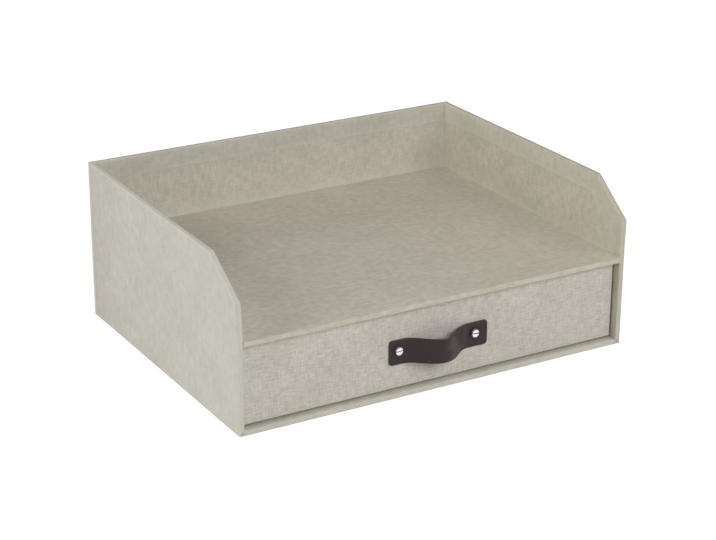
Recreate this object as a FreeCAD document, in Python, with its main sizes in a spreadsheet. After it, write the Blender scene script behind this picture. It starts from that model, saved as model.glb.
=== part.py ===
import FreeCAD, Part
import math
import os
import Sketcher

# A desk tray of paper-covered board with one drawer below it.
# Origin: centre of the case's underside. +X right, +Y back, +Z up. Millimetres.
# The case opens to the front, -Y. The drawer slides out along -Y.

document = FreeCAD.newDocument("drawer_box")
sheet = document.addObject("Spreadsheet::Sheet", "Size")

DRIVING_SIZES = (
    ("case_width", 330, "case, outside, left to right"),
    ("case_depth", 254, "case, outside, front to back"),
    ("case_height", 128, "case, outside, to the rim"),
    ("slope_run", 36, "sloped front corner of a side wall, along its rim"),
    ("slope_drop", 26.5, "sloped front corner of a side wall, down its front edge"),
    ("case_board", 3.6, "greyboard of the case and shelf"),
    ("cover_paper", 0.3, "cover paper with its glue"),
    ("lining_paper", 0.2, "lining paper with its glue"),
    ("turn_in", 15, "cover paper turned over an edge and down the far face"),
    ("shelf_level", 71.5, "top of the shelf above the ground"),
    ("drawer_board", 2.5, "greyboard of the drawer"),
    ("front_recess", 6.2, "drawer front behind the case's front edges"),
    ("front_side_gap", 1.4, "drawer front to each side wall"),
    ("front_top_gap", 1.0, "drawer front to the shelf"),
    ("front_bottom_gap", 1.2, "drawer front to the base"),
    ("tray_side_gap", 1.8, "drawer tray to each side wall"),
    ("tray_top_gap", 3.0, "drawer tray to the shelf"),
    ("tray_bottom_gap", 0.3, "drawer tray to the base it slides on"),
    ("tray_back_gap", 0.3, "drawer tray to the back lining that stops it"),
    ("strap_length", 85, "leather strap, end to end as it is seen from the front"),
    ("strap_width", 19.5, "leather strap"),
    ("strap_thickness", 2, "leather strap"),
    ("strap_rise", 14.4, "finger room between the drawer front and the crown of the strap"),
    ("strap_bend_radius", 14, "each bend of the strap, at its middle"),
    ("strap_flank_angle", 40, "degrees between the drawer front and the strap's rising flanks"),
    ("strap_corner_radius", 2.8, "rounded corners of the strap's ends"),
    ("strap_level", 34.6, "middle of the strap above the ground"),
    ("screw_spacing", 66.7, "between the two screws of the strap"),
    ("screw_head_diameter", 7.8, "domed head"),
    ("screw_head_rim", 0.5, "straight rim of the head"),
    ("screw_head_dome", 1.1, "dome above the rim"),
    ("screw_slot_width", 1.0, "driver slot"),
    ("screw_slot_depth", 0.9, "driver slot, from the top of the dome"),
    ("screw_shank_diameter", 3.4, "threaded shank, over its thread"),
    ("screw_shank_length", 6.5, "threaded shank, below the head"),
    ("post_diameter", 5, "barrel nut that takes the shank"),
    ("post_flange_diameter", 9.5, "flat head of the barrel nut inside the drawer"),
    ("post_flange_thickness", 1.2, "flat head of the barrel nut"),
    ("thread_clearance", 0.05, "shank to barrel, on the radius"),
    ("hole_clearance", 0.1, "barrel and shank to the holes they pass through, on the radius"),
)

for row, (alias, value, note) in enumerate(DRIVING_SIZES, start=1):
    sheet.set(f"A{row}", note)
    sheet.set(f"B{row}", str(value))
    sheet.setAlias(f"B{row}", alias)
document.recompute()


# ---------------------------------------------------------------- places shared by several pieces
# Each is a formula over the sheet. Y places count from the case's middle, Z places from the ground.

WALL = "(2 * Size.cover_paper + Size.case_board)"
INNER_LAYER = "max(Size.cover_paper; Size.lining_paper)"
OUT_X = "(Size.case_width / 2)"
BOARD_OUT_X = f"({OUT_X} - Size.cover_paper)"
BOARD_IN_X = f"({BOARD_OUT_X} - Size.case_board)"
BAY_X = f"({BOARD_IN_X} - {INNER_LAYER})"
FRONT_Y = "(-Size.case_depth / 2)"
BACK_Y = "(Size.case_depth / 2)"
BACK_PANEL_Y = f"({BACK_Y} - {WALL})"
BACK_BOARD_Y = f"({BACK_PANEL_Y} + Size.cover_paper)"
BACK_LINING_Y = f"({BACK_BOARD_Y} - Size.lining_paper)"
BASE_BOARD_TOP = "(Size.cover_paper + Size.case_board)"
BASE_TOP = f"({BASE_BOARD_TOP} + {INNER_LAYER})"
SHELF_TOP = "Size.shelf_level"
SHELF_UNDERSIDE = f"({SHELF_TOP} - {WALL})"
LAP_TOP = "(Size.case_height - Size.turn_in)"
UPWARDS = FreeCAD.Vector(0, 0, 1)


def negative(place):
    """The mirror image of a place."""
    return f"(-{place})"


def number(formula):
    """A formula's present value."""
    return float(sheet.evalExpression(formula))


# ---------------------------------------------------------------- ways of making a piece

def plate(label, x, y, z):
    """A flat sheet: a box between two places along each axis."""
    box = document.addObject("Part::Box", label)
    box.Label = label
    for axis, size, (low, high) in zip("xyz", ("Length", "Width", "Height"), (x, y, z)):
        box.setExpression(f"Placement.Base.{axis}", low)
        box.setExpression(size, f"({high}) - ({low})")
    return box


def cut(label, base, tools):
    """What is left of a solid once all of the tools are taken away."""
    rest = document.addObject("Part::Cut", label)
    rest.Label = label
    rest.Base = base
    if len(tools) == 1:
        rest.Tool = tools[0]
        return rest
    joined = document.addObject("Part::MultiFuse", f"{label}_tools")
    joined.Shapes = tools
    rest.Tool = joined
    return rest


def group(label, solids):
    """Like pieces that share one node."""
    together = document.addObject("Part::Compound", label)
    together.Label = label
    together.Links = solids
    return together


def new_body(label):
    """An empty PartDesign body."""
    body = document.addObject("PartDesign::Body", label)
    body.Label = label
    return body


def new_sketch(body, name, role, offset):
    """A sketch on one of the body's origin planes, moved along that plane's normal."""
    plane = [feature for feature in body.Origin.OriginFeatures if feature.Role == role][0]
    sketch = body.newObject("Sketcher::SketchObject", name)
    sketch.AttachmentSupport = (plane, [""])
    sketch.MapMode = "FlatFace"
    sketch.setExpression("AttachmentOffset.Base.z", offset)
    return sketch


def pin_corner(sketch, edge, end, place):
    """Hold one end of an edge at its two formulas, measured from the sketch's origin."""
    for kind, formula in zip(("DistanceX", "DistanceY"), place):
        index = sketch.addConstraint(Sketcher.Constraint(kind, -1, 1, edge, end, number(formula)))
        sketch.setExpression(f"Constraints[{index}]", formula)


def draw_outline(sketch, corners):
    """A closed outline of straight edges between corners that are given as pairs of formulas."""
    points = [FreeCAD.Vector(number(x), number(y), 0) for x, y in corners]
    count = len(points)
    for index in range(count):
        sketch.addGeometry(Part.LineSegment(points[index], points[(index + 1) % count]))
    for index in range(count):
        sketch.addConstraint(Sketcher.Constraint("Coincident", index, 2, (index + 1) % count, 1))
        pin_corner(sketch, index, 1, corners[index])


def add_pad(body, sketch, length, backwards=False):
    """Thicken a sketch along its plane's normal."""
    pad = body.newObject("PartDesign::Pad", f"{sketch.Name}_pad")
    pad.Profile = sketch
    pad.Reversed = backwards
    pad.setExpression("Length", length)
    return pad


def cut_both_ways(body, sketch, length):
    """Pocket a sketch to both sides of its plane."""
    pocket = body.newObject("PartDesign::Pocket", f"{sketch.Name}_pocket")
    pocket.Profile = sketch
    pocket.Midplane = True
    pocket.setExpression("Length", length)
    return pocket


# ---------------------------------------------------------------- case: side walls

def side_corners(inset, foot):
    """Corners (y, z) of a side wall, drawn in from its front, slope and rim by an inset."""
    slope = "hypot(Size.slope_run; Size.slope_drop)"
    front = f"{FRONT_Y} + {inset}"
    rim = f"Size.case_height - {inset}"
    slope_foot = (
        f"Size.case_height - Size.slope_drop - {inset} * ({slope} - Size.slope_drop) / Size.slope_run"
    )
    slope_head = (
        f"{FRONT_Y} + Size.slope_run + {inset} * ({slope} - Size.slope_run) / Size.slope_drop"
    )
    return (
        (front, foot),
        (front, slope_foot),
        (slope_head, rim),
        (BACK_PANEL_Y, rim),
        (BACK_PANEL_Y, foot),
    )


def side_slab(label, side, depth, thickness, inset, foot):
    """A layer of a side wall, `depth` in from its outer face. Side is -1 at the left, 1 at the right."""
    body = new_body(label)
    outermost = f"({OUT_X} - {depth})"
    low = negative(outermost) if side < 0 else f"({outermost} - {thickness})"
    sketch = new_sketch(body, f"{label}_outline", "YZ_Plane", low)
    draw_outline(sketch, side_corners(inset, foot))
    add_pad(body, sketch, thickness)
    return body


def mitre(body, side):
    """Cut a side wall's foot at 45 degrees, where it is folded up from the base."""
    sketch = new_sketch(body, f"{body.Name}_mitre", "XZ_Plane", "0")
    sign = "-" if side < 0 else ""
    past = "Size.case_board"
    outer = f"{sign}({OUT_X} + {past})"
    inner = f"{sign}({OUT_X} - {WALL} - {past})"
    draw_outline(sketch, ((outer, f"-{past}"), (inner, f"{WALL} + {past}"), (inner, f"-{past}")))
    cut_both_ways(body, sketch, "2 * Size.case_depth")


def make_side_wall(name, side):
    """Board, cover paper with its turn-ins, and lining of one side wall."""
    board = side_slab(f"{name}_board", side, "Size.cover_paper", "Size.case_board", "Size.cover_paper", "0")
    mitre(board, side)
    envelope = side_slab(f"{name}_envelope", side, "0", WALL, "0", "0")
    mitre(envelope, side)
    window = side_slab(f"{name}_window", side, BASE_BOARD_TOP, "Size.cover_paper", "Size.turn_in", "0")
    cover = cut(f"{name}_cover", envelope, [board, window])
    lining_foot = f"{BASE_BOARD_TOP} + Size.lining_paper"
    lining = side_slab(
        f"{name}_lining", side, BASE_BOARD_TOP, "Size.lining_paper", "Size.turn_in", lining_foot
    )
    return [board, cover, lining]


# ---------------------------------------------------------------- case: base, back and shelf

def base_slab(label, bottom, top, front):
    """A layer of the base between two heights, its ends at 45 degrees to meet the side walls."""
    body = new_body(label)
    sketch = new_sketch(body, f"{label}_section", "XZ_Plane", negative(front))
    corners = (
        (f"-({OUT_X} - {bottom})", bottom),
        (f"{OUT_X} - {bottom}", bottom),
        (f"{OUT_X} - {top}", top),
        (f"-({OUT_X} - {top})", top),
    )
    draw_outline(sketch, corners)
    add_pad(body, sketch, f"{BACK_PANEL_Y} - {front}", backwards=True)
    return body


def make_base():
    """Board, cover paper with its front turn-in, and lining of the base."""
    board = base_slab("base_board", "Size.cover_paper", BASE_BOARD_TOP, f"({FRONT_Y} + Size.cover_paper)")
    envelope = base_slab("base_envelope", "0", WALL, FRONT_Y)
    lap_y = f"({FRONT_Y} + Size.turn_in)"
    window = plate(
        "base_window", (negative(OUT_X), OUT_X), (lap_y, BACK_PANEL_Y), (BASE_BOARD_TOP, WALL)
    )
    cover = cut("base_cover", envelope, [board, window])
    lining = plate(
        "base_lining",
        (negative(BOARD_IN_X), BOARD_IN_X),
        (lap_y, BACK_PANEL_Y),
        (BASE_BOARD_TOP, f"{BASE_BOARD_TOP} + Size.lining_paper"),
    )
    return [board, cover, lining]


def make_back():
    """The back panel is wrapped by itself and glued across the rear edges of base and side walls."""
    board = plate(
        "back_board",
        (negative(BOARD_OUT_X), BOARD_OUT_X),
        (BACK_BOARD_Y, f"{BACK_Y} - Size.cover_paper"),
        ("Size.cover_paper", "Size.case_height - Size.cover_paper"),
    )
    envelope = plate(
        "back_envelope", (negative(OUT_X), OUT_X), (BACK_PANEL_Y, BACK_Y), ("0", "Size.case_height")
    )
    lining_x = f"({OUT_X} - {WALL})"
    window = plate(
        "back_window", (negative(lining_x), lining_x), (BACK_PANEL_Y, BACK_BOARD_Y), (WALL, LAP_TOP)
    )
    cover = cut("back_cover", envelope, [board, window])
    lining = plate(
        "back_lining", (negative(lining_x), lining_x), (BACK_LINING_Y, BACK_BOARD_Y), (WALL, LAP_TOP)
    )
    return [board, cover, lining]


def make_shelf():
    """The shelf is wrapped round its front edge and glued between the walls."""
    wide = (negative(BAY_X), BAY_X)
    back_y = f"min({BACK_LINING_Y}; {BACK_PANEL_Y})"
    board_y = f"({FRONT_Y} + Size.cover_paper)"
    lap_y = f"({FRONT_Y} + Size.turn_in)"
    board_bottom = f"({SHELF_UNDERSIDE} + Size.cover_paper)"
    board = plate("shelf_board", wide, (board_y, back_y), (board_bottom, f"{SHELF_TOP} - Size.cover_paper"))
    envelope = plate("shelf_envelope", wide, (FRONT_Y, back_y), (SHELF_UNDERSIDE, SHELF_TOP))
    window = plate("shelf_window", wide, (lap_y, back_y), (SHELF_UNDERSIDE, board_bottom))
    cover = cut("shelf_cover", envelope, [board, window])
    lining = plate(
        "shelf_underside_lining",
        wide,
        (lap_y, back_y),
        (f"{board_bottom} - Size.lining_paper", board_bottom),
    )
    return [board, cover, lining]


# ---------------------------------------------------------------- drawer: places

PANEL = "(2 * Size.cover_paper + Size.drawer_board)"
FRONT_X = f"({BAY_X} - Size.front_side_gap)"
FRONT_FACE_Y = f"({FRONT_Y} + Size.front_recess)"
FRONT_FOOT = f"({BASE_TOP} + Size.front_bottom_gap)"
FRONT_RIM = f"({SHELF_UNDERSIDE} - Size.front_top_gap)"
TRAY_X = f"({BAY_X} - Size.tray_side_gap)"
TRAY_INNER_X = f"({TRAY_X} - {PANEL})"
TRAY_FRONT_Y = f"({FRONT_FACE_Y} + {PANEL})"
TRAY_FRONT_INNER_Y = f"({TRAY_FRONT_Y} + {PANEL})"
TRAY_BACK_Y = f"({BACK_LINING_Y} - Size.tray_back_gap)"
TRAY_BACK_INNER_Y = f"({TRAY_BACK_Y} - {PANEL})"
TRAY_BOTTOM = f"({BASE_TOP} + Size.tray_bottom_gap)"
TRAY_FLOOR = f"({TRAY_BOTTOM} + Size.cover_paper + Size.drawer_board)"
TRAY_RIM = f"({SHELF_UNDERSIDE} - Size.tray_top_gap)"
TRAY_LAP = f"({TRAY_RIM} - Size.turn_in)"
SIDES = (("left", -1), ("right", 1))


def across(side, inner, outer):
    """A pair of X places at the right, or their mirror image at the left."""
    return (inner, outer) if side > 0 else (negative(outer), negative(inner))


def grown(place, paper):
    """A pair of places with a paper's thickness added at both ends, or taken off if it is negative."""
    return (f"{place[0]} - {paper}", f"{place[1]} + {paper}")


# ---------------------------------------------------------------- drawer: strap, screws and barrel nuts

STRAP_FACE_Y = f"({FRONT_FACE_Y} - Size.strap_thickness)"
HEAD_TOP_Y = f"({STRAP_FACE_Y} - Size.screw_head_rim - Size.screw_head_dome)"
FLANGE_Y = f"({TRAY_FRONT_INNER_Y} - Size.cover_paper + Size.lining_paper)"
BARREL_TIP_Y = f"({FRONT_FACE_Y} + Size.cover_paper)"


def bar(label, side, diameter, y, clearance="0"):
    """A round bar along Y at one of the strap's two fixings."""
    low, high = y
    cylinder = document.addObject("Part::Cylinder", label)
    cylinder.Label = label
    cylinder.Placement.Rotation = FreeCAD.Rotation(FreeCAD.Vector(1, 0, 0), -90)
    cylinder.setExpression("Placement.Base.x", f"{side} * Size.screw_spacing / 2")
    cylinder.setExpression("Placement.Base.y", low)
    cylinder.setExpression("Placement.Base.z", "Size.strap_level")
    cylinder.setExpression("Radius", f"{diameter} / 2 + {clearance}")
    cylinder.setExpression("Height", f"({high}) - ({low})")
    return cylinder


def make_screw(name, side):
    """Domed head with a driver slot, and a shank that reaches into its barrel nut."""
    rim_radius = "Size.screw_head_diameter / 2"
    dome_radius = f"((({rim_radius}) ^ 2 + Size.screw_head_dome ^ 2) / (2 * Size.screw_head_dome))"
    disc = bar(f"screw_disc_{name}", side, "Size.screw_head_diameter", (HEAD_TOP_Y, STRAP_FACE_Y))
    dome = document.addObject("Part::Sphere", f"screw_dome_{name}")
    dome.setExpression("Radius", dome_radius)
    dome.setExpression("Placement.Base.x", f"{side} * Size.screw_spacing / 2")
    dome.setExpression("Placement.Base.y", f"{HEAD_TOP_Y} + {dome_radius}")
    dome.setExpression("Placement.Base.z", "Size.strap_level")
    head = document.addObject("Part::Common", f"screw_head_{name}")
    head.Base = disc
    head.Tool = dome
    shank_y = (STRAP_FACE_Y, f"{STRAP_FACE_Y} + Size.screw_shank_length")
    shank = bar(f"screw_shank_{name}", side, "Size.screw_shank_diameter", shank_y)
    blank = document.addObject("Part::Fuse", f"screw_blank_{name}")
    blank.Base = head
    blank.Tool = shank
    middle_x = f"{side} * Size.screw_spacing / 2"
    slot = plate(
        f"screw_slot_{name}",
        (f"{middle_x} - Size.screw_head_diameter", f"{middle_x} + Size.screw_head_diameter"),
        (f"{HEAD_TOP_Y} - Size.screw_slot_depth", f"{HEAD_TOP_Y} + Size.screw_slot_depth"),
        ("Size.strap_level - Size.screw_slot_width / 2", "Size.strap_level + Size.screw_slot_width / 2"),
    )
    return cut(f"screw_{name}", blank, [slot])


def make_post(name, side):
    """Barrel nut: a flat head inside the drawer, and a barrel through the drawer front."""
    flange_y = (FLANGE_Y, f"{FLANGE_Y} + Size.post_flange_thickness")
    flange = bar(f"post_flange_{name}", side, "Size.post_flange_diameter", flange_y)
    barrel = bar(f"post_barrel_{name}", side, "Size.post_diameter", (BARREL_TIP_Y, FLANGE_Y))
    blank = document.addObject("Part::Fuse", f"post_blank_{name}")
    blank.Base = flange
    blank.Tool = barrel
    bore = bar(
        f"post_bore_{name}",
        side,
        "Size.screw_shank_diameter",
        (f"{BARREL_TIP_Y} - Size.post_diameter", FLANGE_Y),
        "Size.thread_clearance",
    )
    return cut(f"post_{name}", blank, [bore])


def barrel_holes():
    """Tools for the two holes that let the barrel nuts through the drawer front and the tray."""
    past = "Size.post_diameter"
    span = (f"{FRONT_FACE_Y} - {past}", f"{TRAY_FRONT_INNER_Y} + {past}")
    return [
        bar(f"barrel_hole_{name}", side, "Size.post_diameter", span, "Size.hole_clearance")
        for name, side in SIDES
    ]


def draw_strap_line(sketch):
    """The strap's middle line, seen from above: flat ends, and a crown between two straight flanks."""
    angle = math.radians(number("Size.strap_flank_angle"))
    radius = number("Size.strap_bend_radius")
    rise = number("Size.strap_rise")
    end_x = number("Size.strap_length / 2")
    level = number(f"{FRONT_FACE_Y} - Size.strap_thickness / 2")
    flank = (rise - 2 * radius * (1 - math.cos(angle))) / math.sin(angle)
    foot_x = 2 * radius * math.sin(angle) + flank * math.cos(angle)
    bend_x = foot_x - radius * math.sin(angle)
    bend_y = level - radius * (1 - math.cos(angle))
    crown_x = radius * math.sin(angle)
    crown_y = level - rise + radius * (1 - math.cos(angle))

    def point(x, y):
        return FreeCAD.Vector(x, y, 0)

    def bend(centre, start, end):
        """The arc of the bend radius about a centre, between two angles that grow."""
        circle = Part.Circle(centre, UPWARDS, radius)
        return Part.ArcOfCircle(circle, start, end)

    quarter = math.pi / 2
    edges = [
        Part.LineSegment(point(-end_x, level), point(-foot_x, level)),
        bend(point(-foot_x, level - radius), quarter - angle, quarter),
        Part.LineSegment(point(-bend_x, bend_y), point(-crown_x, crown_y)),
        bend(point(0, level - rise + radius), -quarter - angle, -quarter + angle),
        Part.LineSegment(point(crown_x, crown_y), point(bend_x, bend_y)),
        bend(point(foot_x, level - radius), quarter, quarter + angle),
        Part.LineSegment(point(foot_x, level), point(end_x, level)),
    ]
    sketch.addGeometry(edges)
    joins = ((0, 2, 1, 2), (1, 1, 2, 1), (2, 2, 3, 1), (3, 2, 4, 1), (4, 2, 5, 2), (5, 1, 6, 1))
    for join in joins:
        sketch.addConstraint(Sketcher.Constraint("Tangent", *join))
    line_y = f"{FRONT_FACE_Y} - Size.strap_thickness / 2"
    pin_corner(sketch, 0, 1, ("-Size.strap_length / 2", line_y))
    pin_corner(sketch, 6, 2, ("Size.strap_length / 2", line_y))
    pin_corner(sketch, 3, 3, ("0", f"{line_y} - Size.strap_rise + Size.strap_bend_radius"))
    sketch.addConstraint(Sketcher.Constraint("Horizontal", 0))
    sketch.addConstraint(Sketcher.Constraint("Horizontal", 6))
    for arc in (1, 3, 5):
        index = sketch.addConstraint(Sketcher.Constraint("Radius", arc, radius))
        sketch.setExpression(f"Constraints[{index}]", "Size.strap_bend_radius")
    for flank_line, sign in ((2, "-"), (4, "")):
        index = sketch.addConstraint(Sketcher.Constraint("Angle", flank_line, float(f"{sign}1") * angle))
        sketch.setExpression(f"Constraints[{index}]", f"{sign}Size.strap_flank_angle * 1 deg")


def make_strap():
    """A leather strap of even thickness, bent out into a pull, with rounded ends and two holes."""
    body = new_body("handle_strap")
    line = new_sketch(body, "strap_line", "XY_Plane", "Size.strap_level")
    draw_strap_line(line)
    section = new_sketch(body, "strap_section", "YZ_Plane", "-Size.strap_length / 2")
    half = "Size.strap_width / 2"
    low, high = f"Size.strap_level - {half}", f"Size.strap_level + {half}"
    corners = ((STRAP_FACE_Y, low), (FRONT_FACE_Y, low), (FRONT_FACE_Y, high), (STRAP_FACE_Y, high))
    draw_outline(section, corners)
    document.recompute()
    pipe = body.newObject("PartDesign::AdditivePipe", "strap_pipe")
    pipe.Profile = section
    pipe.Spine = (line, [f"Edge{index}" for index in range(1, 8)])
    document.recompute()
    end_x = number("Size.strap_length / 2")
    thickness = number("Size.strap_thickness")
    corner_edges = [
        f"Edge{index}"
        for index, edge in enumerate(pipe.Shape.Edges, start=1)
        if abs(edge.Length - thickness) < 1e-4
        and all(abs(abs(vertex.X) - end_x) < 1e-4 for vertex in edge.Vertexes)
    ]
    rounding = body.newObject("PartDesign::Fillet", "strap_corners")
    rounding.Base = (pipe, corner_edges)
    rounding.setExpression("Radius", "Size.strap_corner_radius")
    document.recompute()
    holes = new_sketch(body, "strap_holes", "XZ_Plane", "0")
    hole_radius = "Size.screw_shank_diameter / 2 + Size.hole_clearance"
    for index, (_, side) in enumerate(SIDES):
        middle = (f"{side} * Size.screw_spacing / 2", "Size.strap_level")
        centre = FreeCAD.Vector(number(middle[0]), number(middle[1]), 0)
        holes.addGeometry(Part.Circle(centre, UPWARDS, number(hole_radius)))
        pin_corner(holes, index, 3, middle)
        radius = holes.addConstraint(Sketcher.Constraint("Radius", index, number(hole_radius)))
        holes.setExpression(f"Constraints[{radius}]", hole_radius)
    cut_both_ways(body, holes, "2 * Size.case_depth")
    return body


# ---------------------------------------------------------------- drawer: front and tray

def wrapped_panel(name, envelope, board, window, holes=()):
    """A board and the paper round it. Each of the first three is the X, Y and Z bounds of a box."""
    if holes:
        board_blank = plate(f"{name}_board_blank", *board)
        board_piece = cut(f"{name}_board", board_blank, list(holes))
    else:
        board_piece = plate(f"{name}_board", *board)
    tools = [board_piece, *holes]
    if window:
        tools.append(plate(f"{name}_window", *window))
    cover = cut(f"{name}_cover", plate(f"{name}_envelope", *envelope), tools)
    return [board_piece, cover]


def make_drawer_front(holes):
    """The front panel, wrapped by itself and glued to the tray's front wall."""
    wide = (negative(FRONT_X), FRONT_X)
    deep = (FRONT_FACE_Y, TRAY_FRONT_Y)
    tall = (FRONT_FOOT, FRONT_RIM)
    inset = "(-Size.cover_paper)"
    lap = "(-Size.turn_in)"
    envelope = (wide, deep, tall)
    board = (grown(wide, inset), grown(deep, inset), grown(tall, inset))
    window = (grown(wide, lap), (f"{TRAY_FRONT_Y} - Size.cover_paper", TRAY_FRONT_Y), grown(tall, lap))
    return wrapped_panel("drawer_front", envelope, board, window, holes)


def make_tray_bottom():
    """Bottom board under all four walls, its cover paper up to their feet, and the floor lining."""
    wide = (negative(TRAY_X), TRAY_X)
    deep = (TRAY_FRONT_Y, TRAY_BACK_Y)
    inset = "(-Size.cover_paper)"
    envelope = (wide, deep, (TRAY_BOTTOM, TRAY_FLOOR))
    board = (grown(wide, inset), grown(deep, inset), (f"{TRAY_BOTTOM} + Size.cover_paper", TRAY_FLOOR))
    lining = plate(
        "tray_floor_lining",
        (negative(TRAY_INNER_X), TRAY_INNER_X),
        grown((TRAY_FRONT_INNER_Y, TRAY_BACK_INNER_Y), "Size.cover_paper"),
        (TRAY_FLOOR, f"{TRAY_FLOOR} + Size.lining_paper"),
    )
    return [*wrapped_panel("tray_bottom", envelope, board, None), lining]


def make_tray_side(name, side):
    """A side wall of the tray runs its full depth, with paper round its two ends."""
    deep = (TRAY_FRONT_Y, TRAY_BACK_Y)
    between = (TRAY_FRONT_INNER_Y, TRAY_BACK_INNER_Y)
    board_face = f"({TRAY_INNER_X} + Size.cover_paper)"
    envelope = (across(side, TRAY_INNER_X, TRAY_X), deep, (TRAY_FLOOR, TRAY_RIM))
    board = (
        across(side, board_face, f"({TRAY_X} - Size.cover_paper)"),
        grown(deep, "(-Size.cover_paper)"),
        (TRAY_FLOOR, f"{TRAY_RIM} - Size.cover_paper"),
    )
    window = (across(side, TRAY_INNER_X, board_face), between, (TRAY_FLOOR, TRAY_LAP))
    lining_x = across(side, f"({board_face} - Size.lining_paper)", board_face)
    lining = plate(f"tray_{name}_lining", lining_x, between, (TRAY_FLOOR, TRAY_LAP))
    return [*wrapped_panel(f"tray_{name}", envelope, board, window), lining]


def make_tray_end(name, deep, board_face, inward, holes=()):
    """A front or back wall of the tray, between its side walls. Inward is the sign of its inner face."""
    wide = (negative(TRAY_INNER_X), TRAY_INNER_X)
    inner_layer = (board_face, f"{board_face} + Size.cover_paper")
    lining_y = (board_face, f"{board_face} + Size.lining_paper")
    if inward < 0:
        inner_layer = (f"{board_face} - Size.cover_paper", board_face)
        lining_y = (f"{board_face} - Size.lining_paper", board_face)
    envelope = (wide, deep, (TRAY_FLOOR, TRAY_RIM))
    board = (wide, grown(deep, "(-Size.cover_paper)"), (TRAY_FLOOR, f"{TRAY_RIM} - Size.cover_paper"))
    window = (wide, inner_layer, (TRAY_FLOOR, TRAY_LAP))
    lining_z = (f"{TRAY_FLOOR} + Size.lining_paper", TRAY_LAP)
    if holes:
        lining = cut(
            f"tray_{name}_lining", plate(f"tray_{name}_lining_blank", wide, lining_y, lining_z), list(holes)
        )
    else:
        lining = plate(f"tray_{name}_lining", wide, lining_y, lining_z)
    return [*wrapped_panel(f"tray_{name}", envelope, board, window, holes), lining]


# ---------------------------------------------------------------- the whole box

pieces = []
for wall_name, wall_side in (("left_side", -1), ("right_side", 1)):
    pieces += make_side_wall(wall_name, wall_side)
pieces += make_base()
pieces += make_back()
pieces += make_shelf()

fixing_holes = barrel_holes()
pieces += make_drawer_front(fixing_holes)
pieces += make_tray_bottom()
for tray_name, tray_side in SIDES:
    pieces += make_tray_side(tray_name, tray_side)
front_board_face = f"({TRAY_FRONT_INNER_Y} - Size.cover_paper)"
back_board_face = f"({TRAY_BACK_INNER_Y} + Size.cover_paper)"
pieces += make_tray_end("front", (TRAY_FRONT_Y, TRAY_FRONT_INNER_Y), front_board_face, 1, fixing_holes)
pieces += make_tray_end("back", (TRAY_BACK_INNER_Y, TRAY_BACK_Y), back_board_face, -1)

pieces.append(make_strap())
pieces.append(group("handle_screws", [make_screw(name, side) for name, side in SIDES]))
pieces.append(group("handle_posts", [make_post(name, side) for name, side in SIDES]))

document.recompute()

failed = [item.Name for item in document.Objects if {"Invalid", "Error"} & set(item.State)]
if failed:
    raise RuntimeError(f"these did not build: {failed}")
for piece in pieces:
    if piece.Shape.isNull() or not piece.Shape.isValid() or not piece.Shape.Solids:
        raise RuntimeError(f"{piece.Label} has no valid solid")

os.makedirs("parts", exist_ok=True)
for piece in pieces:
    piece.Shape.exportStep(f"parts/{piece.Label}.step")
    print(f"{piece.Label}: {len(piece.Shape.Solids)} solid, {piece.Shape.Volume:.1f} mm3")
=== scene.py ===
"""A desk tray with a drawer, of board covered with linen-look paper: its finish, its light and its camera."""

import math

import bmesh
import bpy
import numpy as np
from mathutils import Matrix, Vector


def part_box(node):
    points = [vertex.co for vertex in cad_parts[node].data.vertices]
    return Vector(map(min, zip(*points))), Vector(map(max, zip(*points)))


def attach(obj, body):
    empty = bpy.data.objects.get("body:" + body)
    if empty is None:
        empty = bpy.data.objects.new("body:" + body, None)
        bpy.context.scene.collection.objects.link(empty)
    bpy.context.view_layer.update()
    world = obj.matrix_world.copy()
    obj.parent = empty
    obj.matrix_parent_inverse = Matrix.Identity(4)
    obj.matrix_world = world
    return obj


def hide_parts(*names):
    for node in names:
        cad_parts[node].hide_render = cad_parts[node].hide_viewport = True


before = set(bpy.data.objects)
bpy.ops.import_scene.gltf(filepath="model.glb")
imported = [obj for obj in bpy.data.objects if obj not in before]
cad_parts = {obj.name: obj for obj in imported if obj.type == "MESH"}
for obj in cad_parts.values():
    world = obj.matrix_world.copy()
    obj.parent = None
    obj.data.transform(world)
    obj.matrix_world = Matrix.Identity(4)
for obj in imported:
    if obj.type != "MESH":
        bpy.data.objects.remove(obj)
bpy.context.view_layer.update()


# ---- Greyboard panels ----
# Board of recycled paper, 3.6 mm thick in the case and 2.5 mm in the drawer, cut with a knife and glued.
# Only its raw edges can be seen, in the seams: matt, grey-brown, flecked with fibres.

MM = 0.001
GREYBOARD_PALE = "A39C8F"
GREYBOARD_DARK = "6F6A61"
FIBRE = 0.6 * MM
FIBRE_RELIEF = 0.05 * MM


def linear(code):
    """An sRGB hex colour as linear red, green, blue and alpha."""
    parts = np.array([int(code[i:i + 2], 16) for i in (0, 2, 4)]) / 255.0
    high = ((parts + 0.055) / 1.055) ** 2.4
    return (*np.where(parts <= 0.04045, parts / 12.92, high), 1.0)


def add(tree, kind, inputs=None, **settings):
    """Adds a shader node. Each input, by name or number, gets a value or the output of another node."""
    node = tree.nodes.new("ShaderNode" + kind)
    for name, value in settings.items():
        setattr(node, name, value)
    for key, value in (inputs or {}).items():
        if isinstance(value, bpy.types.NodeSocket):
            tree.links.new(value, node.inputs[key])
        else:
            node.inputs[key].default_value = value
    return node


def new_material(name):
    """A material with an empty node tree."""
    material = bpy.data.materials.new(name)
    material.use_nodes = True
    material.node_tree.nodes.clear()
    return material, material.node_tree


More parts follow.
